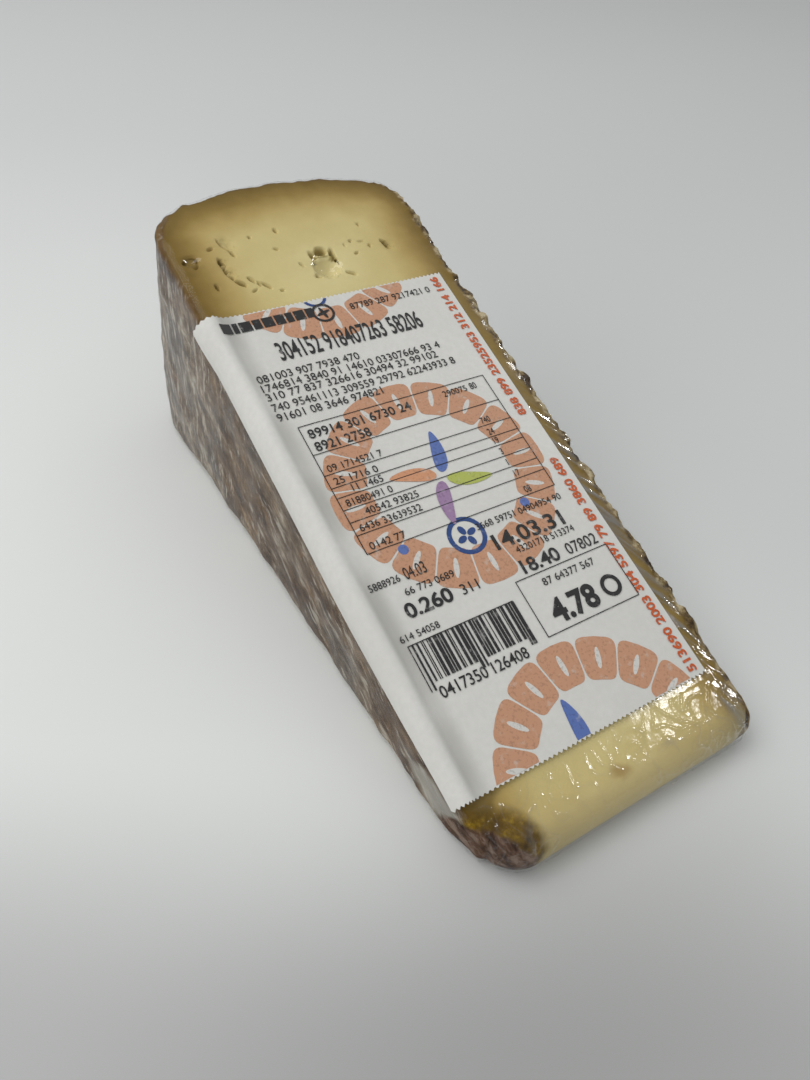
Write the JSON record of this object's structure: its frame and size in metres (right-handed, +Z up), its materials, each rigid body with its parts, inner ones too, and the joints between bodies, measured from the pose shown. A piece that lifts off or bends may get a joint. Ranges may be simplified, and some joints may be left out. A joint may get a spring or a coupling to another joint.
{
  "type": "wrapped cheese wedge",
  "caption": "Flat-lying portion of semi-hard cheese cut from a wheel, with natural rind, wrapped tight in clear film with a paper price label along the slope.",
  "frame": {"origin": "middle of the bounding box of the portion, on the surface that it lies on", "axes": "+Z up, +Y from the thin tip to the thick rim end, +X from the rind with the folded label edge to the other rind"},
  "size_m": [0.0572, 0.1414, 0.0537],
  "materials": {
    "paste": "semi-hard cheese paste, straw yellow, olive brown towards the rind",
    "rind": "natural rind, grey brown with pale lengthwise mould streaks",
    "film": "clear stretch film, tight and glossy, with small folds",
    "label_paper": "white thermal label paper, faintly creased",
    "label_print": "flat printed areas and thermal marks on the label"
  },
  "bodies": {
    "root": {"wrapped_wedge": "paste", "price_label": "label_paper"}
  },
  "joints": []
}
